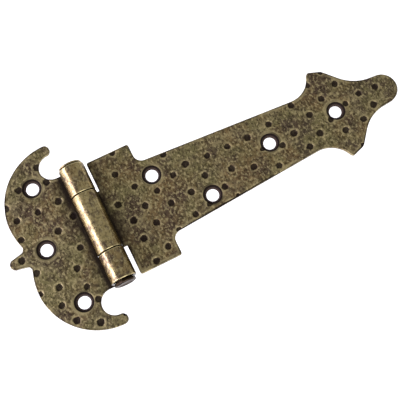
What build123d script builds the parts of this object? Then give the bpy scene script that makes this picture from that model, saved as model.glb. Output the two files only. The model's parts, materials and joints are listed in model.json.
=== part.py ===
"""Strap hinge: a cross-headed strap leaf and a crescent jamb leaf on one headed pin.

Frame: +X runs along the strap towards its spear tip, +Y along the pin, +Z out of
the front. The backs of both leaves lie in z = 0, and the pin's axis is over x = 0.
All sizes are in millimetres.
"""

import os
from math import cos, radians, sin

from build123d import *

# Sheet, barrel and pin
SHEET = 1.6
BARREL_R = 4.6
PIN_CLEARANCE = 0.05
BARREL_HALF = 21.9
MIDDLE_HALF = 10.9
KNUCKLE_GAP = 0.25
SEAM_ANGLE = 36.0
HEAD_R = 4.1
HEAD_HEIGHT = 1.0
HEAD_EDGE = 0.45
PEEN_R = 3.9
PEEN_HEIGHT = 1.2
END_GAP = 0.3

# Clearance between a leaf and the knuckles that turn beside it
CUTOUT_GAP = 0.1
UPPER_SLOT = 0.8
LOWER_SLOT = 1.3

# Countersunk screw holes
HOLE_R = 2.25
MOUTH_R = 3.5

# Strap leaf
CROSS_RIGHT = 21.6
CROSS_HALF = 22.15
CROSS_CORNER = 0.8
CROSS_FILLET = 3.2
STRAP_HALF_AT_CROSS = 14.4
BARB_ROOT = (82.0, 10.35)
BARB_ROOT_R = 10.0
BARB_SWEEP = 70.0
BARB_CORNER = (92.2, 17.6)
BARB_SHOULDER = (97.0, 16.0)
FLANK_START = (101.4, 10.8)
FLANK_MIDDLE = (105.2, 7.75)
NECK = (110.5, 5.9)
TIP_R = 5.6
TIP_END = 119.4
STRAP_HOLES = [(24.4, 8.0), (40.5, -8.0), (67.4, 0.0), (94.4, 0.0)]

# Jamb leaf
SPUR_END = -33.0
SPUR_NOSE_R = 1.9
SPUR_ROOT = (-27.3, 2.75)
SPUR_ROOT_R = 1.0
SIDE_START = (-26.6, 4.1)
SIDE_MIDDLE = (-27.7, 8.4)
SIDE_END = (-28.1, 13.0)
HORN_MIDDLE = (-20.6, 29.2)
HORN_TOP = (-6.0, 34.9)
NOTCH_R = 4.65
JAMB_HOLES = [(-15.4, 22.2), (-19.6, 0.0), (-15.4, -22.2)]

# Worked out from the sizes above
BORE_R = BARREL_R - SHEET
PIN_R = BORE_R - PIN_CLEARANCE
OUTER_START = MIDDLE_HALF + KNUCKLE_GAP
CROSS_LEFT = BARREL_R + UPPER_SLOT
LOWER_LEFT = BARREL_R + LOWER_SLOT
CUTOUT_X = -BARREL_R - CUTOUT_GAP
CUTOUT_HALF = MIDDLE_HALF + CUTOUT_GAP
NOTCH_CENTRE = (HORN_TOP[0], BARREL_HALF + NOTCH_R)
NOTCH_TOP = (HORN_TOP[0], NOTCH_CENTRE[1] + NOTCH_R)
HORN_TIP_R = (HORN_TOP[1] - NOTCH_TOP[1]) / 2
HEAD_DOME_R = (HEAD_R**2 + HEAD_EDGE**2) / (2 * HEAD_EDGE)


def mirrored_plate(half_outline):
    """Plate on z = 0 from the outline's y > 0 half, which starts and ends on y = 0."""
    with BuildSketch() as sketch:
        with BuildLine():
            add(half_outline)
            mirror(half_outline, about=Plane.XZ)
        make_face()
    return extrude(sketch.sketch, SHEET)


def screw_hole(x, y):
    """Cutter for one countersunk hole."""
    drill = Pos(x, y, SHEET / 2) * Cylinder(HOLE_R, 2 * SHEET)
    depth = MOUTH_R - HOLE_R
    mouth = Pos(x, y, SHEET - depth / 2) * Cone(HOLE_R, MOUTH_R, depth)
    return drill + mouth


def knuckle(y_low, y_high, side):
    """Rolled tube round the pin, open at a seam beside the leaf on that side of x = 0."""
    length = y_high - y_low
    middle = Pos(0, (y_low + y_high) / 2, BARREL_R) * Rot(90, 0, 0)
    tube = middle * (Cylinder(BARREL_R, length) - Cylinder(BORE_R, 2 * length))
    reach = 2 * BARREL_R
    lip = (side * reach * cos(radians(SEAM_ANGLE)), BARREL_R - reach * sin(radians(SEAM_ANGLE)))
    corners = [(0, BARREL_R), lip, (side * reach, -reach), (0, -reach)]
    wedge = Plane.XZ.offset(-2 * BARREL_HALF) * make_face(Polyline(*corners, close=True))
    return tube - extrude(wedge, 4 * BARREL_HALF)


def strap_half():
    """Upper half of the strap leaf's outline: tongue, cross, strap, barb and tip."""
    root_angle = radians(BARB_SWEEP)
    barb_foot = (
        BARB_ROOT[0] + BARB_ROOT_R * sin(root_angle),
        BARB_ROOT[1] + BARB_ROOT_R * (1 - cos(root_angle)),
    )
    tip_start = (TIP_END - TIP_R, TIP_R)
    with BuildLine() as line:
        Polyline(
            (0, 0),
            (0, MIDDLE_HALF),
            (CROSS_LEFT, MIDDLE_HALF),
            (CROSS_LEFT, CROSS_HALF),
            (CROSS_RIGHT, CROSS_HALF),
            (CROSS_RIGHT, STRAP_HALF_AT_CROSS),
            BARB_ROOT,
        )
        RadiusArc(BARB_ROOT, barb_foot, -BARB_ROOT_R)
        Polyline(barb_foot, BARB_CORNER, BARB_SHOULDER, FLANK_START)
        ThreePointArc(FLANK_START, FLANK_MIDDLE, NECK)
        Line(NECK, tip_start)
        RadiusArc(tip_start, (TIP_END, 0), TIP_R)
    return line.line


def jamb_half():
    """Upper half of the jamb leaf's outline: spur, side, horn, notch and knuckle edge."""
    nose = SPUR_END + SPUR_NOSE_R
    with BuildLine() as line:
        RadiusArc((SPUR_END, 0), (nose, SPUR_NOSE_R), SPUR_NOSE_R)
        Polyline((nose, SPUR_NOSE_R), SPUR_ROOT, SIDE_START)
        ThreePointArc(SIDE_START, SIDE_MIDDLE, SIDE_END)
        ThreePointArc(SIDE_END, HORN_MIDDLE, HORN_TOP)
        RadiusArc(HORN_TOP, NOTCH_TOP, HORN_TIP_R)
        RadiusArc(NOTCH_TOP, (NOTCH_TOP[0], BARREL_HALF), -NOTCH_R)
        Polyline(
            (NOTCH_TOP[0], BARREL_HALF),
            (0, BARREL_HALF),
            (0, CUTOUT_HALF),
            (CUTOUT_X, CUTOUT_HALF),
            (CUTOUT_X, 0),
        )
    return line.line


def upright_edges(plate, places, reach=0.3):
    """The plate's thickness edges at the given places and at their mirror images."""
    found = []
    for edge in plate.edges().filter_by(Axis.Z):
        centre = edge.center()
        for x, y in places:
            if abs(centre.X - x) < reach and abs(abs(centre.Y) - y) < reach:
                found.append(edge)
    return found


def strap_leaf():
    """Cross-headed strap with the middle knuckle and four countersunk holes."""
    plate = mirrored_plate(strap_half())
    widening = Box(2 * (LOWER_LEFT - CROSS_LEFT), CROSS_HALF, 4 * SHEET)
    plate = plate - Pos(CROSS_LEFT, -MIDDLE_HALF - CROSS_HALF / 2, 0) * widening
    corners = [(CROSS_LEFT, CROSS_HALF), (LOWER_LEFT, CROSS_HALF), (CROSS_RIGHT, CROSS_HALF), BARB_CORNER]
    plate = fillet(upright_edges(plate, corners), CROSS_CORNER)
    plate = fillet(upright_edges(plate, [(CROSS_RIGHT, STRAP_HALF_AT_CROSS)]), CROSS_FILLET)
    plate = fillet(upright_edges(plate, [BARB_SHOULDER]), 2 * CROSS_CORNER)
    leaf = plate + knuckle(-MIDDLE_HALF, MIDDLE_HALF, 1)
    for x, y in STRAP_HOLES:
        leaf = leaf - screw_hole(x, y)
    return leaf


def jamb_leaf():
    """Crescent leaf with the two outer knuckles and three countersunk holes."""
    plate = mirrored_plate(jamb_half())
    plate = fillet(upright_edges(plate, [SPUR_ROOT, SIDE_START]), SPUR_ROOT_R)
    leaf = plate + knuckle(OUTER_START, BARREL_HALF, -1)
    leaf = leaf + knuckle(-BARREL_HALF, -OUTER_START, -1)
    for x, y in JAMB_HOLES:
        leaf = leaf - screw_hole(x, y)
    return leaf


def hinge_pin():
    """Round pin with a low domed head at +Y and a peened end at -Y."""
    head_base = BARREL_HALF + END_GAP
    head_top = head_base + HEAD_HEIGHT
    peen_base = -BARREL_HALF - END_GAP
    peen_end = peen_base - PEEN_HEIGHT
    with BuildLine() as line:
        Polyline(
            (0, head_top),
            (0, peen_end),
            (PEEN_R - HEAD_EDGE, peen_end),
            (PEEN_R, peen_end + HEAD_EDGE),
            (PEEN_R, peen_base),
            (PIN_R, peen_base),
            (PIN_R, head_base),
            (HEAD_R, head_base),
            (HEAD_R, head_top - HEAD_EDGE),
        )
        RadiusArc((HEAD_R, head_top - HEAD_EDGE), (0, head_top), -HEAD_DOME_R)
    profile = make_face(line.line)
    return Pos(0, 0, BARREL_R) * revolve(profile, Axis.Y, 360)


os.makedirs("parts", exist_ok=True)
for name, build in [("strap_leaf", strap_leaf), ("jamb_leaf", jamb_leaf), ("hinge_pin", hinge_pin)]:
    solid = build()
    export_step(solid, f"parts/{name}.step")
    box = solid.bounding_box()
    print(name, f"{solid.volume:.0f} mm3", box.min, box.max)
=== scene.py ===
"""Looks of an antique-brass strap hinge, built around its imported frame.

Two stamped leaves with pressed marks, countersunk screw holes and rolled knuckles
turn on one headed pin. Lengths named with _mm are millimetres; the scene is in metres.
"""

import json
import math

import bmesh
import bpy
import numpy as np
from mathutils import Matrix, Vector
from mathutils.geometry import delaunay_2d_cdt


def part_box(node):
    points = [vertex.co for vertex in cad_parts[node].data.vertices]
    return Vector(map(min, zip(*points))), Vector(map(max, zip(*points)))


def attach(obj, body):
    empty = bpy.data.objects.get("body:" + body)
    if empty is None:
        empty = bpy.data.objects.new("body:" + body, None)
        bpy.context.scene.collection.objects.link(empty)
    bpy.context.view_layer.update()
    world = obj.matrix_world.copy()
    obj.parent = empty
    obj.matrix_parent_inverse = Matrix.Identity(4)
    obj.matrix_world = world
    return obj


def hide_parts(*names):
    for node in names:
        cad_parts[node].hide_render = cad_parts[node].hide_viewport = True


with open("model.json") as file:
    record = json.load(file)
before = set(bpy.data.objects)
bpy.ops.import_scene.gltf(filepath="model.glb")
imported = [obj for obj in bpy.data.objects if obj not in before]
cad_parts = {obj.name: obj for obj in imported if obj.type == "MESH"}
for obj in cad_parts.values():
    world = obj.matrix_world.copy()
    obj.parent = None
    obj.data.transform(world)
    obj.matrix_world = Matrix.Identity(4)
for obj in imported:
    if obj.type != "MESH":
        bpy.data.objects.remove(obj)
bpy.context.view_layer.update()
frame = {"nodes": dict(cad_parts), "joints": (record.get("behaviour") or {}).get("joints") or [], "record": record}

bl_info = {
    "name": "Strap hinge looks",
    "version": (1, 0, 0),
    "blender": (4, 5, 0),
    "location": "View3D > Sidebar > Strap hinge",
    "description": "Builds the leaves, pin and stage of a decorative strap hinge",
    "category": "Object",
}

MM = 0.001
AXIS = Vector(frame["joints"][0]["pos_m"]) / MM
BARREL_R = AXIS.z
BORES = [Vector(m["pos_m"]) / MM for m in frame["record"]["mounts"] if m["kind"] == "bore"]

# Making the leaves' meshes: lengths in millimetres and turns in degrees
WELD = 0.002
SHORTEST_EDGE = 0.004
LEVEL_SLACK = 0.01
FLAT_TURN = 0.5
SHARP_TURN = 30
EDGE_STEPS = 4
# Cuts across the knuckles, from each of their ends and from the barrel's middle
CUTS_BY_END = (-1.4, -0.7, 0.7, 1.4)
CUTS_IN_MIDDLE = (-4.0, 0.0, 4.0)
# Rings of points: round a mark as shares of its radius, and out from a countersink's mouth
MARK_RINGS = (0.35, 0.6, 0.72, 0.82, 0.92, 1.02, 1.14, 1.28, 1.5)
MARK_RING_POINTS = 22
MARK_KEPT_CLEAR = 1.75
MOUTH_RINGS = (0.35, 0.75)
MOUTH_RING_POINTS = 48
MOUTH_KEPT_CLEAR = 1.1
# How near the outline a ring's point may come, and a grid's as a share of its step
RING_MARGIN = 0.06
GRID_MARGIN = 0.45
BACK_GRID = 1.6
# Noise that bends the marks' edges and swells the front: cells in a millimetre
WANDER_CELLS = 0.9
SWELL_CELLS = 0.13

# Camera: its place and the point it aims at in millimetres, its lean in degrees, and its lens
CAMERA_PLACE = (4.84, -66.2, 253.8)
CAMERA_AIM = (35.53, -7.85)
CAMERA_LEAN = 26.64
CAMERA_LENS = 67.1
FLOOR_HEIGHT = -0.13


def front_height():
    """Height of the leaves' front faces over their backs, read clear of the barrel."""
    points = frame["nodes"]["strap_leaf"].data.vertices
    return max(p.co.z for p in points if p.co.x > 2 * BARREL_R * MM) / MM


def barrel_half():
    """Half the barrel's length: the furthest reach of the jamb leaf's knuckles along the pin."""
    points = frame["nodes"]["jamb_leaf"].data.vertices
    return max(p.co.y for p in points if p.co.z > BARREL_R * MM) / MM


def joint_height():
    """Distance from the barrel's middle to the joints between its knuckles."""
    points = frame["nodes"]["strap_leaf"].data.vertices
    return max(p.co.y for p in points if p.co.z > BARREL_R * MM) / MM


def pin_radius(low, high):
    """Widest reach of the pin from its axis between two heights along it."""
    points = (p.co / MM for p in frame["nodes"]["hinge_pin"].data.vertices)
    return max(math.hypot(p.x, p.z - AXIS.z) for p in points if low <= p.y <= high)


FRONT = front_height()
BARREL_HALF = barrel_half()
JOINT_Y = joint_height()
PEEN_R = pin_radius(-2 * BARREL_HALF, -BARREL_HALF - 0.4)
PIN_R = min(
    math.hypot(p.co.x, p.co.z - AXIS.z * MM) / MM
    for p in frame["nodes"]["hinge_pin"].data.vertices if abs(p.co.y) < (BARREL_HALF + 0.4) * MM
)

# Pressed marks, listed over each leaf: x and y of the centre and size against the usual one.
STRAP_MARKS = (
    (15.4, 21.7, 1.0), (12.9, 13.8, 1.0), (17.2, 6.8, 0.95), (9.2, 3.4, 1.05), (11.7, -4.0, 1.1),
    (17.5, -1.1, 1.05), (18.4, -8.3, 1.1), (12.1, -11.4, 1.05), (18.4, -17.7, 1.0),
    (12.5, -20.5, 1.05), (23.6, 2.0, 0.95), (26.1, -4.3, 1.05), (31.3, 13.1, 1.05),
    (31.1, 4.6, 1.0), (36.8, 6.3, 1.1), (41.1, -0.6, 1.05), (34.2, -3.8, 1.05),
    (31.9, -11.7, 1.0), (38.0, -10.6, 0.85), (45.6, -7.4, 1.0), (45.1, 5.6, 0.9),
    (50.7, -2.5, 1.05), (53.1, 5.5, 0.95), (58.1, -5.5, 1.0), (61.0, 5.3, 1.05),
    (48.4, -12.3, 0.7), (24.4, -14.1, 0.9), (64.0, -0.9, 0.8), (66.3, -9.1, 1.0),
    (70.2, 6.4, 1.0), (70.9, -2.9, 0.95), (76.8, -0.7, 1.1), (80.9, 9.1, 1.0),
    (85.1, 2.9, 1.05), (79.5, -7.7, 1.05), (85.1, -4.9, 1.1), (89.8, 13.4, 0.9),
    (92.0, 6.4, 1.05), (91.2, -2.1, 0.9), (98.9, 0.9, 0.95), (99.1, 9.4, 1.05),
    (96.6, 15.7, 0.8), (94.0, -8.0, 1.05), (101.9, -7.2, 1.0), (105.0, 2.2, 0.95),
    (111.8, 1.9, 1.05), (107.8, -4.0, 1.1), (96.6, -15.6, 0.6),
)
JAMB_MARKS = (
    (-10.8, 28.6, 1.05), (-19.8, 23.7, 1.05), (-9.9, 22.2, 1.1), (-26.5, 19.5, 1.15),
    (-24.6, 13.8, 1.05), (-16.9, 13.5, 1.0), (-8.9, 13.9, 1.1), (-26.0, 7.0, 1.0),
    (-13.2, 4.1, 1.1), (-6.4, 6.7, 1.05), (-28.7, 0.2, 1.1), (-25.8, -6.0, 1.05),
    (-8.7, -4.5, 1.0), (-12.8, -10.6, 1.05), (-20.9, -13.8, 1.05), (-27.5, -13.1, 0.85),
    (-22.6, -19.9, 1.0), (-12.4, -17.9, 0.95), (-10.6, -23.4, 1.0), (-20.1, -26.7, 1.05),
    (-13.1, -30.8, 1.1), (-4.7, -32.0, 0.6),
)

MATH = "ShaderNodeMath"
VECTOR_MATH = "ShaderNodeVectorMath"
RANGE = "ShaderNodeMapRange"
NOISE = "ShaderNodeTexNoise"
MIX = "ShaderNodeMix"


def add_node(tree, kind, inputs=None, **settings):
    """Adds a node with its settings; an input takes a value, or the node or socket it is linked from."""
    made = tree.nodes.new(kind)
    for name, value in settings.items():
        setattr(made, name, value)
    for key, value in (inputs or {}).items():
        if isinstance(value, bpy.types.Node):
            value = next(output for output in value.outputs if output.enabled)
        if isinstance(value, bpy.types.NodeSocket):
            tree.links.new(value, made.inputs[key])
        else:
            made.inputs[key].default_value = value
    return made


def colour(code):
    """Linear RGBA of an sRGB hex code."""
    parts = [int(code[i : i + 2], 16) / 255 for i in (1, 3, 5)]
    linear = [c / 12.92 if c <= 0.04045 else ((c + 0.055) / 1.055) ** 2.4 for c in parts]
    return (*linear, 1.0)


class HingeSizes(bpy.types.PropertyGroup):
    """Sizes of the surface detail."""

    edge: bpy.props.FloatProperty(
        name="Edge rounding", description="Radius on every stamped edge",
        default=0.22 * MM, min=0.02 * MM, unit="LENGTH", precision=5,
    )
    knuckle_edge: bpy.props.FloatProperty(
        name="Knuckle rounding", description="Radius on the ends of the rolled knuckles",
        default=0.38 * MM, min=0.02 * MM, unit="LENGTH", precision=5,
    )
    grid: bpy.props.FloatProperty(
        name="Grid", description="Spacing of the points on a leaf's front",
        default=0.9 * MM, min=0.3 * MM, unit="LENGTH", precision=5,
    )
    mark: bpy.props.FloatProperty(
        name="Mark radius", description="Radius of a usual pressed mark",
        default=1.34 * MM, min=0.2 * MM, unit="LENGTH", precision=5,
    )
    depth: bpy.props.FloatProperty(
        name="Mark depth", description="Depth of a pressed mark",
        default=0.34 * MM, min=0.0, unit="LENGTH", precision=5,
    )
    rim: bpy.props.FloatProperty(
        name="Mark rim", description="Height of the metal pushed up round a mark",
        default=0.05 * MM, min=0.0, unit="LENGTH", precision=5,
    )
    wave: bpy.props.FloatProperty(
        name="Waviness", description="Unevenness of the stamped sheet",
        default=0.06 * MM, min=0.0, unit="LENGTH", precision=5,
    )
    mouth: bpy.props.FloatProperty(
        name="Countersink", description="Radius of a countersink's mouth",
        default=3.5 * MM, min=0.5 * MM, unit="LENGTH", precision=5,
    )


class HingeColours(bpy.types.PropertyGroup):
    """Colours of the plating, its oxide and the studio."""

    plate: bpy.props.FloatVectorProperty(
        name="Plate", description="Brass plate at its plainest",
        default=colour("#8f855c"), size=4, subtype="COLOR", min=0.0, max=1.0,
    )
    tan: bpy.props.FloatVectorProperty(
        name="Tan", description="Plate where the patina turns from olive to tan",
        default=colour("#927a55"), size=4, subtype="COLOR", min=0.0, max=1.0,
    )
    patina: bpy.props.FloatVectorProperty(
        name="Patina", description="Grey-brown patina that clouds the plate",
        default=colour("#5b4c44"), size=4, subtype="COLOR", min=0.0, max=1.0,
    )
    # Oxide also paints the shade in the corner beside the barrel.
    oxide: bpy.props.FloatVectorProperty(
        name="Oxide", description="Dark oxide left in corners and speckles",
        default=colour("#30261d"), size=4, subtype="COLOR", min=0.0, max=1.0,
    )
    # Black also paints the shade in the nook beside the barrel, on the barrel's flanks and on the pin's peened
    # end.
    black: bpy.props.FloatVectorProperty(
        name="Black", description="Deepest oxide, in joints, marks and countersinks",
        default=colour("#1a0f0b"), size=4, subtype="COLOR", min=0.0, max=1.0,
    )
    # Rubbed also paints the highlights on the marks' rims, the screw holes' lips and the knuckles' ends.
    rubbed: bpy.props.FloatVectorProperty(
        name="Rubbed", description="Plate rubbed bright on rims and flecks",
        default=colour("#cbbb8c"), size=4, subtype="COLOR", min=0.0, max=1.0,
    )
    barrel: bpy.props.FloatVectorProperty(
        name="Barrel", description="Handled plate on the knuckles",
        default=colour("#b6a474"), size=4, subtype="COLOR", min=0.0, max=1.0,
    )
    paper: bpy.props.FloatVectorProperty(
        name="Paper", description="Studio floor",
        default=colour("#f4f4f2"), size=4, subtype="COLOR", min=0.0, max=1.0,
    )


# ---------------------------------------------------------------- leaf meshes


def merged_copy(node):
    """The CAD node's mesh in millimetres, its loose triangles joined and its flats made whole."""
    mesh = bmesh.new()
    mesh.from_mesh(frame["nodes"][node].data)
    bmesh.ops.scale(mesh, vec=(1 / MM,) * 3, verts=mesh.verts)
    bmesh.ops.remove_doubles(mesh, verts=mesh.verts, dist=WELD)
    bmesh.ops.dissolve_limit(
        mesh, angle_limit=math.radians(FLAT_TURN), verts=mesh.verts, edges=mesh.edges
    )
    return mesh


def off_axis(point):
    """Distance of a point in millimetres from the pin's axis."""
    return math.hypot(point.x, point.z - BARREL_R)


def round_edges(mesh, sizes):
    """Rounds the knuckles' outer ends, then every other edge that turns sharply."""
    for knuckles, width in ((True, sizes.knuckle_edge / MM), (False, sizes.edge / MM)):
        sharp = [
            e for e in mesh.edges
            if e.is_manifold and e.calc_face_angle() > math.radians(SHARP_TURN)
            and (not knuckles or all(
                off_axis(v.co) > BARREL_R - 0.02 and v.co.z > FRONT + 0.6 for v in e.verts
            ))
        ]
        # A corner that slides along an edge inside the flat leaves a sliver past the outline.
        bmesh.ops.bevel(
            mesh, geom=sharp, offset=width, offset_type="OFFSET", segments=EDGE_STEPS, profile=0.5,
            affect="EDGES", clamp_overlap=False, loop_slide=False,
        )
    bmesh.ops.dissolve_degenerate(mesh, dist=SHORTEST_EDGE, edges=mesh.edges)


def ring_cuts(mesh):
    """Cuts the knuckles across, so that their shading stays even up to the rounded ends."""
    rolled = [
        f for f in mesh.faces
        if off_axis(f.calc_center_median()) > BARREL_R - 0.1
        and f.calc_center_median().z > FRONT + 0.02 and abs(f.normal.y) < 0.1
    ]
    ends = (JOINT_Y, BARREL_HALF)
    cuts = [side * (end + step) for side in (-1, 1) for end in ends for step in CUTS_BY_END]
    for cut in [*cuts, *CUTS_IN_MIDDLE]:
        rolled = [f for f in rolled if f.is_valid]
        edges = {e for f in rolled for e in f.edges}
        corners = {v for f in rolled for v in f.verts}
        found = bmesh.ops.bisect_plane(
            mesh, geom=[*rolled, *edges, *corners], plane_co=(0, cut, 0), plane_no=(0, 1, 0)
        )
        cut_faces = (f for f in found["geom"] if isinstance(f, bmesh.types.BMFace))
        rolled = list({*rolled, *cut_faces})


def flat_faces(mesh, level, facing):
    """Faces of a leaf's front or back: flat at a height, and facing up for 1 or down for -1."""
    return [
        f for f in mesh.faces
        if f.normal.z * facing > 0.9999 and abs(f.calc_center_median().z - level) < LEVEL_SLACK
    ]


def inside(points, starts, ends):
    """True for each point that the closed outline holds, by counting crossings."""
    x, y = points[:, :1], points[:, 1:]
    x0, y0, x1, y1 = starts[:, 0], starts[:, 1], ends[:, 0], ends[:, 1]
    spans = (y0 > y) != (y1 > y)
    with np.errstate(divide="ignore", invalid="ignore"):
        meets = x0 + (y - y0) * (x1 - x0) / (y1 - y0)
    return (spans & (x < meets)).sum(1) % 2 == 1


def distance(points, starts, ends):
    """Distance from each point to the nearest of the outline's edges."""
    along = ends - starts
    squared = np.maximum((along**2).sum(1), 1e-12)
    offset = points[:, None] - starts[None]
    share = np.clip((offset * along).sum(2) / squared, 0, 1)
    return np.linalg.norm(offset - share[..., None] * along, axis=2).min(1)


def ring(x, y, radius, count, turn):
    """Points of a circle."""
    angles = turn + np.arange(count) * (2 * math.pi / count)
    return np.stack([x + radius * np.cos(angles), y + radius * np.sin(angles)], 1)


def fine_flat(mesh, level, facing, marks, sizes):
    """Fills a leaf's front or back again with even triangles, and rings of points round each mark.

    Returns the starts and ends of its outline's edges.
    """
    faces = flat_faces(mesh, level, facing)
    chosen = set(faces)
    border = [e for e in mesh.edges if sum(f in chosen for f in e.link_faces) == 1]
    corners = list({v for e in border for v in e.verts})
    place = {v: i for i, v in enumerate(corners)}
    flat = np.array([v.co.xy for v in corners])
    pairs = np.array([(place[e.verts[0]], place[e.verts[1]]) for e in border])
    starts, ends = flat[pairs[:, 0]], flat[pairs[:, 1]]

    step = sizes.grid / MM * (1 if marks else BACK_GRID)
    low, high = flat.min(0), flat.max(0)
    columns = np.arange(low[0], high[0], step)
    grid = np.concatenate([
        np.stack([columns + (i % 2) * step / 2, np.full_like(columns, y)], 1)
        for i, y in enumerate(np.arange(low[1], high[1], step * math.sqrt(0.75)))
    ])
    rings = []
    for x, y, size in marks:
        reach = sizes.mark / MM * size
        grid = grid[np.linalg.norm(grid - (x, y), axis=1) > MARK_KEPT_CLEAR * reach]
        rings.append(np.array([[x, y]]))
        for k, share in enumerate(MARK_RINGS):
            rings.append(ring(x, y, share * reach, MARK_RING_POINTS, 0.1 * k))
    for bore in BORES if marks else ():
        away = np.linalg.norm(grid - np.array(bore.xy), axis=1)
        grid = grid[away > sizes.mouth / MM + MOUTH_KEPT_CLEAR]
        for k, extra in enumerate(MOUTH_RINGS):
            rings.append(ring(bore.x, bore.y, sizes.mouth / MM + extra, MOUTH_RING_POINTS, 0.05 * k))
    rings = np.concatenate([np.empty((0, 2)), *rings])
    spare = np.concatenate([rings, grid])
    clear = np.where(np.arange(len(spare)) < len(rings), RING_MARGIN, GRID_MARGIN * step)
    spare = spare[inside(spare, starts, ends) & (distance(spare, starts, ends) > clear)]

    points, _, triangles, origins, _, _ = delaunay_2d_cdt(
        [Vector(p) for p in np.concatenate([flat, spare])],
        [tuple(map(int, p)) for p in pairs], [], 0, 1e-5,
    )
    centres = np.array([np.mean([points[i] for i in t], axis=0) for t in triangles])
    held = inside(centres, starts, ends)
    bmesh.ops.delete(mesh, geom=faces, context="FACES")
    made = {}
    for index, sources in enumerate(origins):
        known = [o for o in sources if o < len(corners)]
        if known:
            made[index] = corners[known[0]]
    for triangle in (t for t, wanted in zip(triangles, held) if wanted):
        for index in triangle:
            if index not in made:
                made[index] = mesh.verts.new((*points[index], level))
        face = mesh.faces.new([made[i] for i in triangle])
        face.normal_update()
        if face.normal.z * facing < 0:
            face.normal_flip()
    return starts, ends


def leaf_mesh(node, marks, sizes):
    """A leaf's mesh in metres, with rounded edges, a fine front and the attributes that place its wear and painted
    light.

    The attributes are "barrel", 1 on the knuckles, and the distances in millimetres
    "bore_mm" to the nearest screw hole's centre and "edge_mm" to the front's or back's outline.
    """
    mesh = merged_copy(node)
    round_edges(mesh, sizes)
    mesh.normal_update()
    ring_cuts(mesh)
    front = fine_flat(mesh, FRONT, 1, marks, sizes)
    back = fine_flat(mesh, 0.0, -1, (), sizes)
    bmesh.ops.triangulate(mesh, faces=[f for f in mesh.faces if len(f.verts) > 4])
    places = np.array([v.co for v in mesh.verts])
    data = bpy.data.meshes.new(node + "_look")
    mesh.to_mesh(data)
    mesh.free()

    from_axis = np.hypot(places[:, 0], places[:, 2] - BARREL_R)
    values = {
        "barrel": (from_axis < BARREL_R + 0.05) & (places[:, 2] > FRONT + 0.3),
        "bore_mm": np.min([np.hypot(places[:, 0] - b.x, places[:, 1] - b.y) for b in BORES], axis=0),
        "edge_mm": np.select(
            [abs(places[:, 2] - FRONT) < LEVEL_SLACK, places[:, 2] < LEVEL_SLACK],
            [distance(places[:, :2], *front), distance(places[:, :2], *back)], 0.0,
        ),
    }
    for name, value in values.items():
        layer = data.attributes.new(name, "FLOAT", "POINT")
        layer.data.foreach_set("value", value.astype(np.float32))
    data.transform(Matrix.Scale(MM, 4))
    return data


def mark_points(name, marks):
    """A mesh of loose points at the marks' centres, each with its size."""
    data = bpy.data.meshes.new(name)
    data.from_pydata([(x * MM, y * MM, FRONT * MM) for x, y, _ in marks], [], [])
    layer = data.attributes.new("size", "FLOAT", "POINT")
    layer.data.foreach_set("value", [size for _, _, size in marks])
    found = bpy.data.objects.new(name, data)
    bpy.context.scene.collection.objects.link(found)
    return found


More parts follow.
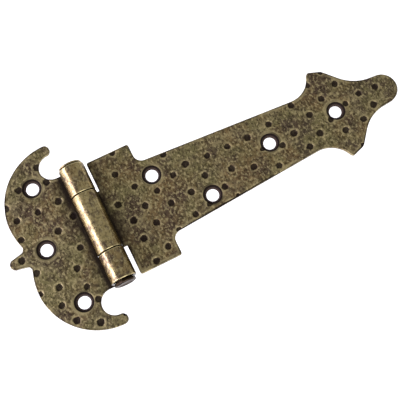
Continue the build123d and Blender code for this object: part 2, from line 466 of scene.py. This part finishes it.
def pressed_tree():
    """Geometry tree that presses marks into a leaf's front and stores where they are."""
    tree = bpy.data.node_groups.new("pressed_marks", "GeometryNodeTree")
    face = tree.interface
    face.new_socket("Geometry", in_out="INPUT", socket_type="NodeSocketGeometry")
    face.new_socket("Marks", in_out="INPUT", socket_type="NodeSocketObject")
    for name in ("Radius", "Depth", "Rim", "Wave", "Front"):
        face.new_socket(name, in_out="INPUT", socket_type="NodeSocketFloat")
    face.new_socket("Material", in_out="INPUT", socket_type="NodeSocketMaterial")
    face.new_socket("Geometry", in_out="OUTPUT", socket_type="NodeSocketGeometry")

    given = add_node(tree, "NodeGroupInput").outputs
    place = add_node(tree, "GeometryNodeInputPosition")
    marks = add_node(
        tree, "GeometryNodeObjectInfo", {"Object": given["Marks"]}, transform_space="RELATIVE"
    ).outputs["Geometry"]
    # A worn punch leaves no true circle, so each mark's edge wanders.
    wander = add_node(tree, NOISE, {"Vector": place, "Scale": WANDER_CELLS / MM, "Detail": 1.0})
    centred = add_node(
        tree, VECTOR_MATH, {0: wander.outputs["Color"], 1: (0.5, 0.5, 0.5)}, operation="SUBTRACT"
    )
    shift = add_node(tree, VECTOR_MATH, {0: centred, "Scale": 0.7 * MM}, operation="SCALE")
    probe = add_node(tree, VECTOR_MATH, {0: place, 1: shift}, operation="ADD")
    apart = add_node(tree, "ShaderNodeSeparateXYZ", {0: probe}).outputs
    level = add_node(
        tree, "ShaderNodeCombineXYZ", {"X": apart["X"], "Y": apart["Y"], "Z": given["Front"]}
    )
    nearest = add_node(
        tree, "GeometryNodeSampleNearest", {"Geometry": marks, "Sample Position": level}, domain="POINT"
    )
    size = add_node(tree, "GeometryNodeInputNamedAttribute", {"Name": "size"}, data_type="FLOAT")
    mark_size = add_node(
        tree, "GeometryNodeSampleIndex", {"Geometry": marks, "Value": size, "Index": nearest},
        data_type="FLOAT", domain="POINT",
    )
    centre = add_node(
        tree, "GeometryNodeSampleIndex",
        {"Geometry": marks, "Value": add_node(tree, "GeometryNodeInputPosition"), "Index": nearest},
        data_type="FLOAT_VECTOR", domain="POINT",
    )
    away = add_node(tree, VECTOR_MATH, {0: centre, 1: level}, operation="DISTANCE")
    reach = add_node(tree, MATH, {0: given["Radius"], 1: mark_size}, operation="MULTIPLY")
    share = add_node(tree, MATH, {0: away, 1: reach}, operation="DIVIDE")
    # Only the front takes marks: the share fades out down the walls and countersinks.
    height = add_node(tree, "ShaderNodeSeparateXYZ", {0: place}).outputs["Z"]
    drop = add_node(tree, MATH, {0: given["Front"], 1: height}, operation="SUBTRACT")
    skin = add_node(tree, RANGE, {"Value": drop, 1: 0.2 * MM, 2: 0.6 * MM, 3: 1.0, 4: 0.0})
    above = add_node(tree, MATH, {0: drop, 1: -0.1 * MM}, operation="GREATER_THAN")
    front = add_node(tree, MATH, {0: skin, 1: above}, operation="MULTIPLY")
    pit, rise, fall = (
        add_node(tree, RANGE, {"Value": share, 1: low, 2: high, 3: first, 4: last},
                 interpolation_type="SMOOTHSTEP")
        for low, high, first, last in ((0.62, 1.04, 1.0, 0.0), (0.95, 1.12, 0.0, 1.0), (1.14, 1.5, 1.0, 0.0))
    )
    rim = add_node(tree, MATH, {0: rise, 1: fall}, operation="MULTIPLY")
    lift = add_node(tree, MATH, {0: rim, 1: given["Rim"]}, operation="MULTIPLY")
    sink = add_node(tree, MATH, {0: pit, 1: given["Depth"]}, operation="MULTIPLY")
    press = add_node(tree, MATH, {0: lift, 1: sink}, operation="SUBTRACT")
    swell = add_node(tree, NOISE, {"Vector": place, "Scale": SWELL_CELLS / MM, "Detail": 2.0})
    swell = add_node(tree, MATH, {0: swell, 1: 0.5}, operation="SUBTRACT")
    wave = add_node(tree, MATH, {0: swell, 1: given["Wave"]}, operation="MULTIPLY")
    total = add_node(tree, MATH, {0: press, 1: wave}, operation="ADD")
    move = add_node(tree, MATH, {0: total, 1: front}, operation="MULTIPLY")
    offset = add_node(tree, "ShaderNodeCombineXYZ", {"Z": move})
    stored = given["Geometry"]
    for name, mask in (("pit", pit), ("rim", rim)):
        kept = add_node(tree, MATH, {0: mask, 1: front}, operation="MULTIPLY")
        stored = add_node(
            tree, "GeometryNodeStoreNamedAttribute", {"Geometry": stored, "Name": name, "Value": kept},
            data_type="FLOAT", domain="POINT",
        )
    moved = add_node(tree, "GeometryNodeSetPosition", {"Geometry": stored, "Offset": offset})
    real = add_node(tree, "GeometryNodeRealizeInstances", {"Geometry": moved})
    finished = add_node(
        tree, "GeometryNodeSetMaterial", {"Geometry": real, "Material": given["Material"]}
    )
    add_node(tree, "NodeGroupOutput", {"Geometry": finished})
    return tree


def set_input(modifier, name, value):
    """Sets a geometry tree's named input by its socket's identifier."""
    for item in modifier.node_group.interface.items_tree:
        if item.item_type == "SOCKET" and item.in_out == "INPUT" and item.name == name:
            modifier[item.identifier] = value
            return
    raise ValueError(f"the tree has no input named {name}")


def smooth(data, angle=40):
    """Shades a mesh smooth but for edges sharper than the angle."""
    data.shade_smooth()
    data.set_sharp_from_angle(angle=math.radians(angle))


def leaf_piece(node, body, marks, material):
    """Builds a leaf's finished piece and puts it in its CAD node's place."""
    sizes = bpy.context.scene.hinge_sizes
    data = leaf_mesh(node, marks, sizes)
    rough = bpy.data.objects.new(node + "_rough", data)
    bpy.context.scene.collection.objects.link(rough)
    points = mark_points(node + "_marks", marks)
    modifier = rough.modifiers.new("pressed_marks", "NODES")
    modifier.node_group = bpy.data.node_groups.get("pressed_marks") or pressed_tree()
    set_input(modifier, "Marks", points)
    set_input(modifier, "Radius", sizes.mark)
    set_input(modifier, "Depth", sizes.depth)
    set_input(modifier, "Rim", sizes.rim)
    set_input(modifier, "Wave", sizes.wave)
    set_input(modifier, "Front", FRONT * MM)
    set_input(modifier, "Material", material)
    evaluated = rough.evaluated_get(bpy.context.evaluated_depsgraph_get())
    final = bpy.data.meshes.new_from_object(evaluated)
    for spare in (rough, points):
        bpy.data.objects.remove(spare)
    smooth(final)
    piece = bpy.data.objects.new(node + "_stamped", final)
    bpy.context.scene.collection.objects.link(piece)
    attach(piece, body)
    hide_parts(node)


# ------------------------------------------------------------------ materials


def clouds(tree, place, tone, layers):
    """Lays cloudy layers over a tone: each has a size in mm, detail, edges of its band, share, colour."""
    for size, detail, low, high, share, paint in layers:
        cloud = add_node(
            tree, NOISE, {"Vector": place, "Scale": 1 / (size * MM), "Detail": detail, "Roughness": 0.62}
        )
        mask = add_node(tree, RANGE, {"Value": cloud, 1: low, 2: high, 3: 0.0, 4: share})
        tone = add_node(tree, MIX, {0: mask, 6: tone, 7: paint}, data_type="RGBA")
    return tone


def washes(tree, tone, layers):
    """Lays colours over a tone: each has a mask, its share and a colour."""
    for mask, share, paint in layers:
        mask = add_node(tree, MATH, {0: mask, 1: share}, operation="MULTIPLY")
        tone = add_node(tree, MIX, {0: mask, 6: tone, 7: paint}, data_type="RGBA")
    return tone


def plate_material():
    """The leaves' shared material: antique brass plate on stamped steel.

    Plated brass darkened with oxide and then rubbed back looks olive brown and mottled,
    bright where hands and the polishing wheel reach and black where they do not.
    Shade beside and on the barrel and highlights on the rims, lips and knuckle ends are painted in too.
    """
    name = "antique_brass_plate_stamped"
    if name in bpy.data.materials:
        return bpy.data.materials[name]
    hues = bpy.context.scene.hinge_colours
    material = bpy.data.materials.new(name)
    material.use_nodes = True
    tree = material.node_tree
    tree.nodes.clear()
    place = add_node(tree, "ShaderNodeTexCoord").outputs["Object"]
    apart = add_node(tree, "ShaderNodeSeparateXYZ", {0: place})
    # The painted shade beside the barrel reaches further on the jamb leaf's side, so the measure starts left of
    # the pin.
    across = add_node(tree, MATH, {0: apart.outputs["X"], 1: 0.5 * MM}, operation="ADD")
    across = add_node(tree, MATH, {0: across}, operation="ABSOLUTE")
    off_pin = add_node(tree, MATH, {0: apart.outputs["X"]}, operation="ABSOLUTE")
    along = add_node(tree, MATH, {0: apart.outputs["Y"]}, operation="ABSOLUTE")
    pit, rim, barrel, bore, edge = (
        add_node(tree, "ShaderNodeAttribute", attribute_name=n).outputs["Fac"]
        for n in ("pit", "rim", "barrel", "bore_mm", "edge_mm")
    )
    leaf = add_node(tree, MATH, {0: 1.0, 1: barrel}, operation="SUBTRACT")
    pit = add_node(tree, RANGE, {"Value": pit, 1: 0.12, 2: 0.6})
    # Brushing runs along the pin, so the fine grain is drawn out that way.
    drawn = add_node(tree, "ShaderNodeMapping", {"Vector": place, "Scale": (1.0, 0.7, 1.0)})

    # Patina on the leaves, from clouds as wide as a finger down to grains a little coarser than real.
    flat = clouds(tree, place, tuple(hues.plate), (
        (17.0, 3.0, 0.42, 0.58, 0.9, tuple(hues.tan)),
        (9.0, 5.0, 0.48, 0.60, 0.75, tuple(hues.patina)),
        (5.5, 5.0, 0.53, 0.64, 0.4, tuple(hues.rubbed)),
        (3.6, 5.0, 0.50, 0.62, 0.45, tuple(hues.patina)),
    ))
    flat = clouds(tree, drawn, flat, (
        (1.5, 4.0, 0.50, 0.62, 0.35, tuple(hues.oxide)),
        (0.85, 3.0, 0.52, 0.60, 0.75, tuple(hues.rubbed)),
        (0.65, 3.0, 0.50, 0.60, 0.65, tuple(hues.oxide)),
    ))
    # Handling has worn the knuckles brighter.
    worn = clouds(tree, drawn, tuple(hues.barrel), (
        (6.0, 4.0, 0.44, 0.60, 0.7, tuple(hues.tan)),
        (2.4, 4.0, 0.48, 0.60, 0.8, tuple(hues.patina)),
        (0.9, 3.0, 0.52, 0.60, 0.55, tuple(hues.rubbed)),
        (0.7, 3.0, 0.52, 0.62, 0.5, tuple(hues.oxide)),
    ))
    tone = add_node(tree, MIX, {0: barrel, 6: flat, 7: worn}, data_type="RGBA")

    # Painted shade, with oxide, lies in the corner beside the barrel, wandering in width.
    wander = add_node(tree, NOISE, {"Vector": place, "Scale": 1 / (5.0 * MM), "Detail": 3.0})
    reach = add_node(tree, RANGE, {"Value": wander, 1: 0.35, 2: 0.65, 3: 2.0 * MM, 4: -2.0 * MM})
    swayed = add_node(tree, MATH, {0: across, 1: reach}, operation="ADD")
    corner = add_node(
        tree, RANGE, {"Value": swayed, 1: (BARREL_R + 0.5) * MM, 2: (BARREL_R + 5.0) * MM, 3: 1.0, 4: 0.0}
    )
    beside = add_node(
        tree, RANGE,
        {"Value": along, 1: (BARREL_HALF + 0.5) * MM, 2: (BARREL_HALF + 3.5) * MM, 3: 1.0, 4: 0.0},
    )
    beside = add_node(tree, MATH, {0: beside, 1: leaf}, operation="MULTIPLY")
    # The backs lay flat in the bath and took an even coat, so these masks, the painted shade beside the barrel
    # among them, fade out below.
    upper = add_node(
        tree, RANGE, {"Value": apart.outputs["Z"], 1: 0.05 * MM, 2: 0.35 * MM}
    )
    beside = add_node(tree, MATH, {0: beside, 1: upper}, operation="MULTIPLY")
    corner = add_node(tree, MATH, {0: corner, 1: beside}, operation="MULTIPLY")
    # Painted shade: the nook right beside the barrel is painted nearly black.
    nook_shade = add_node(
        tree, RANGE, {"Value": across, 1: (BARREL_R + 0.6) * MM, 2: (BARREL_R + 1.9) * MM, 3: 1.0, 4: 0.0}
    )
    nook_shade = add_node(tree, MATH, {0: nook_shade, 1: beside}, operation="MULTIPLY")
    # Painted shade: the barrel is painted black along its two flanks, where its round turns away.
    flank_shade = add_node(
        tree, RANGE, {"Value": off_pin, 1: (BARREL_R - 0.75) * MM, 2: (BARREL_R - 0.1) * MM}
    )
    flank_shade = add_node(tree, MATH, {0: flank_shade, 1: barrel}, operation="MULTIPLY")
    # The joints between the knuckles and the barrel's two ends are black too.
    joint = add_node(tree, MATH, {0: along, 1: (JOINT_Y + 0.12) * MM}, operation="SUBTRACT")
    joint = add_node(tree, MATH, {0: joint}, operation="ABSOLUTE")
    end = add_node(tree, MATH, {0: (BARREL_HALF + 0.12) * MM, 1: along}, operation="SUBTRACT")
    gap = add_node(tree, MATH, {0: joint, 1: end}, operation="MINIMUM")
    seam = add_node(tree, RANGE, {"Value": gap, 1: 0.16 * MM, 2: 0.22 * MM, 3: 1.0, 4: 0.0})
    seam = add_node(tree, MATH, {0: seam, 1: barrel}, operation="MULTIPLY")
    # The rounded ends of the knuckles carry a painted highlight beside the joints and the barrel's ends.
    knuckle_end_highlight = add_node(tree, MATH, {0: gap, 1: 0.4 * MM, 2: 0.18 * MM}, operation="COMPARE")
    knuckle_end_highlight = add_node(tree, MATH, {0: knuckle_end_highlight, 1: barrel}, operation="MULTIPLY")
    # The marks' raised rims are painted bright in arcs: partly plate rubbed by polishing, partly painted
    # highlight.
    arcs = add_node(tree, NOISE, {"Vector": place, "Scale": 1 / (2.2 * MM), "Detail": 2.0})
    arcs = add_node(tree, RANGE, {"Value": arcs, 1: 0.38, 2: 0.56})
    rim = add_node(tree, MATH, {0: rim, 1: arcs}, operation="MULTIPLY")
    # A thin dark line follows the outline, and the front inside it is rubbed here and there.
    wall = add_node(tree, RANGE, {"Value": edge, 1: 0.15, 2: 0.5, 3: 1.0, 4: 0.0})
    wall = add_node(tree, MATH, {0: wall, 1: leaf}, operation="MULTIPLY")
    kept = add_node(tree, NOISE, {"Vector": place, "Scale": 1 / (6.0 * MM), "Detail": 2.0})
    kept = add_node(tree, RANGE, {"Value": kept, 1: 0.42, 2: 0.6, 3: 0.25, 4: 1.0})
    wall = add_node(tree, MATH, {0: wall, 1: kept}, operation="MULTIPLY")
    inner = add_node(tree, RANGE, {"Value": edge, 1: 0.5, 2: 1.2, 3: 1.0, 4: 0.0})
    rubs = add_node(tree, NOISE, {"Vector": place, "Scale": 1 / (8.0 * MM), "Detail": 3.0})
    rubs = add_node(tree, RANGE, {"Value": rubs, 1: 0.45, 2: 0.6})
    inner = add_node(tree, MATH, {0: inner, 1: rubs}, operation="MULTIPLY")
    inner = add_node(tree, MATH, {0: inner, 1: leaf}, operation="MULTIPLY")
    # Round each screw hole a bright lip stands outside the black countersink: partly rubbed plate, partly painted
    # highlight.
    rubbed_lip_highlight = add_node(tree, MATH, {0: bore, 1: 3.75, 2: 0.2}, operation="COMPARE")
    well = add_node(tree, RANGE, {"Value": bore, 1: 3.4, 2: 3.55, 3: 1.0, 4: 0.0})
    cone = add_node(tree, RANGE, {"Value": bore, 1: 2.6, 2: 3.0, 3: 1.0, 4: 0.0})
    rubbed_lip_highlight, well, cone = (
        add_node(tree, MATH, {0: mask, 1: upper}, operation="MULTIPLY") for mask in (rubbed_lip_highlight, well, cone)
    )
    # Painted shade beside and on the barrel and painted highlights on rims, lips and knuckle ends go on with the
    # wear and oxide.
    tone = washes(tree, tone, (
        (corner, 0.72, tuple(hues.oxide)),
        (inner, 0.65, tuple(hues.rubbed)),
        (rim, 0.8, tuple(hues.rubbed)),
        (rubbed_lip_highlight, 0.85, tuple(hues.rubbed)),
        (knuckle_end_highlight, 0.7, tuple(hues.rubbed)),
        (nook_shade, 0.9, tuple(hues.black)),
        (flank_shade, 0.8, tuple(hues.black)),
        (wall, 0.75, tuple(hues.black)),
        (seam, 0.95, tuple(hues.black)),
        (pit, 0.93, tuple(hues.black)),
        (well, 1.0, tuple(hues.black)),
        (cone, 0.55, tuple(hues.patina)),
    ))

    # The oxide in marks and countersinks, and the nook's painted shade, make the plate rough and less metallic.
    oxide = add_node(tree, MATH, {0: pit, 1: well}, operation="MAXIMUM")
    oxide = add_node(tree, MATH, {0: oxide, 1: nook_shade}, operation="MAXIMUM")
    grain = add_node(tree, NOISE, {"Vector": drawn, "Scale": 1 / (1.8 * MM), "Detail": 4.0})
    dull = add_node(tree, RANGE, {"Value": grain, 1: 0.35, 2: 0.65, 3: 0.42, 4: 0.62})
    sleek = add_node(tree, RANGE, {"Value": grain, 1: 0.35, 2: 0.65, 3: 0.2, 4: 0.34})
    rough = add_node(tree, MIX, {0: barrel, 2: dull, 3: sleek}, data_type="FLOAT")
    rough = add_node(tree, MIX, {0: oxide, 2: rough, 3: 0.75}, data_type="FLOAT")
    metal = add_node(tree, RANGE, {"Value": oxide, 3: 1.0, 4: 0.3})
    # Rolling left the knuckles smoother than the hammered leaves.
    fade = add_node(tree, RANGE, {"Value": barrel, 3: 0.55, 4: 0.09})
    swell = add_node(tree, NOISE, {"Vector": place, "Scale": 1 / (2.6 * MM), "Detail": 4.0})
    normal = add_node(
        tree, "ShaderNodeBump", {"Height": swell, "Strength": fade, "Distance": 0.16 * MM}
    )
    fine = add_node(tree, NOISE, {"Vector": place, "Scale": 1 / (0.8 * MM), "Detail": 2.0})
    normal = add_node(
        tree, "ShaderNodeBump",
        {"Height": fine, "Strength": fade, "Distance": 0.05 * MM, "Normal": normal},
    )
    shader = add_node(
        tree, "ShaderNodeBsdfPrincipled",
        {"Base Color": tone, "Roughness": rough, "Metallic": metal, "Normal": normal,
         "Specular IOR Level": 0.15},
    )
    add_node(tree, "ShaderNodeOutputMaterial", {"Surface": shader})
    return material


def pin_material():
    """Plated steel wire, headed cold: the same brass brown, with painted shade on the peened lower end and a
    lighter grey patch where it was struck, partly bruise and partly painted highlight.
    """
    hues = bpy.context.scene.hinge_colours
    material = bpy.data.materials.new("antique_brass_plate_cold_headed")
    material.use_nodes = True
    tree = material.node_tree
    tree.nodes.clear()
    place = add_node(tree, "ShaderNodeTexCoord").outputs["Object"]
    along = add_node(tree, "ShaderNodeSeparateXYZ", {0: place}).outputs["Y"]
    away = add_node(tree, MATH, {0: along}, operation="ABSOLUTE")
    struck = add_node(tree, "ShaderNodeAttribute", attribute_name="struck").outputs["Fac"]
    tone = clouds(tree, place, tuple(hues.barrel), (
        (4.0, 3.0, 0.45, 0.6, 0.6, tuple(hues.tan)),
        (1.8, 3.0, 0.5, 0.65, 0.6, tuple(hues.patina)),
        (1.0, 2.0, 0.54, 0.68, 0.5, tuple(hues.oxide)),
    ))
    neck = add_node(
        tree, RANGE,
        {"Value": away, 1: (BARREL_HALF + 0.2) * MM, 2: (BARREL_HALF + 0.5) * MM, 3: 1.0, 4: 0.0},
    )
    # Painted shade: the peened lower end is painted black, in place of the shade it would reflect.
    low_end_shade = add_node(
        tree, RANGE,
        {"Value": along, 1: (-BARREL_HALF - 0.5) * MM, 2: -BARREL_HALF * MM, 3: 1.0, 4: 0.0},
    )
    # The struck face is painted lighter over the black: partly hammer bruise, partly painted highlight.
    tone = washes(tree, tone, (
        (low_end_shade, 0.95, tuple(hues.black)),
        (struck, 0.55, tuple(hues.patina)),
        (neck, 0.95, tuple(hues.black)),
    ))
    grain = add_node(tree, NOISE, {"Vector": place, "Scale": 1 / (1.4 * MM), "Detail": 3.0})
    rough = add_node(tree, RANGE, {"Value": grain, 1: 0.35, 2: 0.65, 3: 0.28, 4: 0.5})
    normal = add_node(
        tree, "ShaderNodeBump", {"Height": grain, "Strength": 0.4, "Distance": 0.1 * MM}
    )
    shader = add_node(
        tree, "ShaderNodeBsdfPrincipled",
        {"Base Color": tone, "Roughness": rough, "Metallic": 1.0, "Normal": normal},
    )
    add_node(tree, "ShaderNodeOutputMaterial", {"Surface": shader})
    return material


def pin_piece():
    """The pin: a domed head, a plain shaft and an end peened over by a hammer."""
    low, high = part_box("hinge_pin")
    low, high = Vector(low) / MM, Vector(high) / MM
    head = high.x
    peen = PEEN_R
    # Radius and place along the pin, from the struck face at the bottom to the head's top.
    profile = (
        (0.35 * peen, low.y + 0.42), (0.62 * peen, low.y + 0.34), (0.74 * peen, low.y + 0.1),
        (0.84 * peen, low.y + 0.02), (0.93 * peen, low.y + 0.12), (0.985 * peen, low.y + 0.35),
        (peen, low.y + 0.6), (0.985 * peen, low.y + 0.95), (0.95 * peen, -BARREL_HALF - 0.3),
        (PIN_R, -BARREL_HALF - 0.28), (PIN_R, -BARREL_HALF + 1), (PIN_R, BARREL_HALF - 1),
        (PIN_R, BARREL_HALF + 0.28), (0.96 * head, BARREL_HALF + 0.3), (head, BARREL_HALF + 0.42),
        (head, high.y - 0.55), (0.985 * head, high.y - 0.4), (0.93 * head, high.y - 0.28),
        (0.8 * head, high.y - 0.17), (0.55 * head, high.y - 0.07), (0.28 * head, high.y - 0.02),
    )
    count = 64
    mesh = bmesh.new()
    rings = []
    for radius, y in profile:
        end = y < -BARREL_HALF - 0.05
        loop = []
        for k in range(count):
            angle = 2 * math.pi * k / count
            # Hammer blows leave the peened end a little out of round.
            dent = 0.05 * math.sin(3 * angle + 1.0) + 0.035 * math.sin(7 * angle) if end else 0.0
            reach = radius * (1 - max(dent, 0.0))
            loop.append(mesh.verts.new((reach * math.cos(angle), y, AXIS.z + reach * math.sin(angle))))
        rings.append(loop)
    for first, second in zip(rings, rings[1:]):
        for k in range(count):
            mesh.faces.new((first[k], first[k - 1], second[k - 1], second[k]))
    for loop, y in ((rings[0], low.y + 0.44), (rings[-1], high.y)):
        centre = mesh.verts.new((0, y, AXIS.z))
        for k in range(count):
            mesh.faces.new((loop[k - 1], loop[k], centre))
    bmesh.ops.recalc_face_normals(mesh, faces=mesh.faces)
    places = np.array([v.co for v in mesh.verts])
    data = bpy.data.meshes.new("pin_headed")
    mesh.to_mesh(data)
    mesh.free()
    layer = data.attributes.new("struck", "FLOAT", "POINT")
    face = (places[:, 1] < low.y + 0.5) & (places[:, 1] > low.y + 0.3)
    layer.data.foreach_set("value", face.astype(np.float32))
    data.transform(Matrix.Scale(MM, 4))
    data.materials.append(pin_material())
    smooth(data, 50)
    piece = bpy.data.objects.new("pin_headed", data)
    bpy.context.scene.collection.objects.link(piece)
    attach(piece, "jamb_side")
    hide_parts("hinge_pin")


# ------------------------------------------------------------------ operators


class HINGE_OT_strap_leaf(bpy.types.Operator):
    """Build the cross-headed strap leaf with its middle knuckle"""

    bl_idname = "hinge.strap_leaf"
    bl_label = "Strap leaf"

    def execute(self, context):
        leaf_piece("strap_leaf", "strap_side", STRAP_MARKS, plate_material())
        return {"FINISHED"}


class HINGE_OT_jamb_leaf(bpy.types.Operator):
    """Build the crescent jamb leaf with its two outer knuckles"""

    bl_idname = "hinge.jamb_leaf"
    bl_label = "Jamb leaf"

    def execute(self, context):
        leaf_piece("jamb_leaf", "jamb_side", JAMB_MARKS, plate_material())
        return {"FINISHED"}


class HINGE_OT_pin(bpy.types.Operator):
    """Build the headed pin"""

    bl_idname = "hinge.pin"
    bl_label = "Pin"

    def execute(self, context):
        pin_piece()
        return {"FINISHED"}


class HINGE_OT_stage(bpy.types.Operator):
    """Set the pale floor, soft lights and camera"""

    bl_idname = "hinge.stage"
    bl_label = "Stage"

    def execute(self, context):
        stage(context.scene)
        return {"FINISHED"}


def soft_light(name, place, aim, size, power, tint="#ffffff"):
    """A rectangular area light at a place in metres, turned to its aim."""
    data = bpy.data.lights.new(name, "AREA")
    data.shape = "RECTANGLE"
    data.size, data.size_y = size
    data.energy = power
    data.color = colour(tint)[:3]
    lamp = bpy.data.objects.new(name, data)
    lamp.location = place
    lamp.rotation_euler = (Vector(aim) - Vector(place)).to_track_quat("-Z", "Y").to_euler()
    bpy.context.scene.collection.objects.link(lamp)


def stage(scene):
    """Pale floor, lights and the camera."""
    hues = scene.hinge_colours
    bpy.ops.mesh.primitive_plane_add(size=6.0, location=(0, 0, FLOOR_HEIGHT))
    floor = bpy.context.object
    floor.name = "floor"
    paper = bpy.data.materials.new("white_paper_matte")
    paper.use_nodes = True
    # Matte paper lit from below, so that it stays white and the plate is not overlit to get there.
    shader = paper.node_tree.nodes["Principled BSDF"]
    shader.inputs["Base Color"].default_value = hues.paper
    shader.inputs["Roughness"].default_value = 0.9
    shader.inputs["Emission Color"].default_value = hues.paper
    shader.inputs["Emission Strength"].default_value = 0.5
    floor.data.materials.append(paper)

    world = bpy.data.worlds.new("studio")
    world.use_nodes = True
    world.node_tree.nodes["Background"].inputs["Color"].default_value = colour("#ffffff")
    world.node_tree.nodes["Background"].inputs["Strength"].default_value = 0.47
    scene.world = world
    aim = (0.0, 0.0, 0.0)
    soft_light("key_left", (-1.16, 0.12, 0.52), aim, (1.4, 0.6), 19.0, "#ece6ff")
    soft_light("low_left", (-1.2, 0.12, 0.03), aim, (1.4, 0.26), 3.0, "#ece6ff")
    soft_light("fill_front", (0.05, -0.65, 0.35), aim, (0.6, 0.45), 3.0)

    data = bpy.data.cameras.new("camera")
    data.lens = CAMERA_LENS
    data.sensor_width = 36.0
    camera = bpy.data.objects.new("camera", data)
    scene.collection.objects.link(camera)
    camera.location = [part * MM for part in CAMERA_PLACE]
    back = (camera.location - Vector([part * MM for part in (*CAMERA_AIM, FRONT)])).normalized()
    lean = math.radians(CAMERA_LEAN)
    right = Vector((math.sin(lean), math.cos(lean), 0.0)).cross(back).normalized()
    camera.rotation_euler = Matrix((right, back.cross(right), back)).transposed().to_euler()
    scene.camera = camera
    scene.view_settings.view_transform = "Standard"


class HINGE_PT_sidebar(bpy.types.Panel):
    """Lists the hinge's pieces"""

    bl_idname = "HINGE_PT_sidebar"
    bl_label = "Strap hinge"
    bl_space_type = "VIEW_3D"
    bl_region_type = "UI"
    bl_category = "Strap hinge"

    def draw(self, context):
        for operator in OPERATORS:
            self.layout.operator(operator.bl_idname)
        for settings in (context.scene.hinge_sizes, context.scene.hinge_colours):
            for name in settings.__annotations__:
                self.layout.prop(settings, name)


OPERATORS = (HINGE_OT_strap_leaf, HINGE_OT_jamb_leaf, HINGE_OT_pin, HINGE_OT_stage)
CLASSES = (HingeSizes, HingeColours, *OPERATORS, HINGE_PT_sidebar)


def register():
    """Registers the classes and the scene's settings."""
    for item in CLASSES:
        bpy.utils.register_class(item)
    bpy.types.Scene.hinge_sizes = bpy.props.PointerProperty(type=HingeSizes)
    bpy.types.Scene.hinge_colours = bpy.props.PointerProperty(type=HingeColours)


def unregister():
    """Removes what register added."""
    del bpy.types.Scene.hinge_colours
    del bpy.types.Scene.hinge_sizes
    for item in reversed(CLASSES):
        bpy.utils.unregister_class(item)


def main():
    """Builds every piece in order."""
    register()
    bpy.ops.hinge.strap_leaf()
    bpy.ops.hinge.jamb_leaf()
    bpy.ops.hinge.pin()
    bpy.ops.hinge.stage()


if __name__ == "__main__":
    main()
